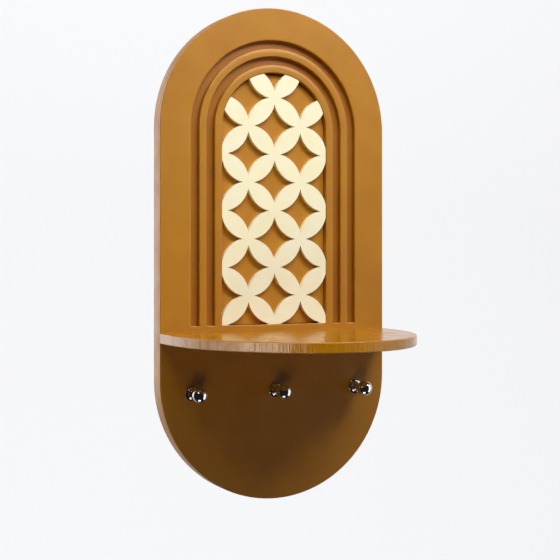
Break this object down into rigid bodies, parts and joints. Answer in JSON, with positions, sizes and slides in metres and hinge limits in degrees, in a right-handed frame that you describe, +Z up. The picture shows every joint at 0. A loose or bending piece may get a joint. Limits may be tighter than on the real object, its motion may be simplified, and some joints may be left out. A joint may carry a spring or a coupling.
{
  "type": "wall key holder",
  "caption": "Round-ended wall board with sunk arches, a pierced petal lattice, a D-shaped shelf and small round knobs for keys.",
  "frame": {"origin": "middle of the board's back face, which lies on the wall", "axes": "+X to the right across the board, +Y into the wall, +Z up; the front looks along -Y"},
  "size_m": [0.15, 0.122, 0.304],
  "materials": {
    "brown_paint": "satin paint on fibreboard",
    "cream_paint": "matt cream paint",
    "chrome": "polished",
    "screw_steel": "plain zinc"
  },
  "bodies": {
    "root": {"backboard": "brown_paint", "shelf": "brown_paint", "lattice_panel": "cream_paint", "knob_left": "chrome", "knob_centre": "chrome", "knob_right": "chrome", "knob_screws": "screw_steel", "shelf_screws": "screw_steel"}
  },
  "joints": []
}
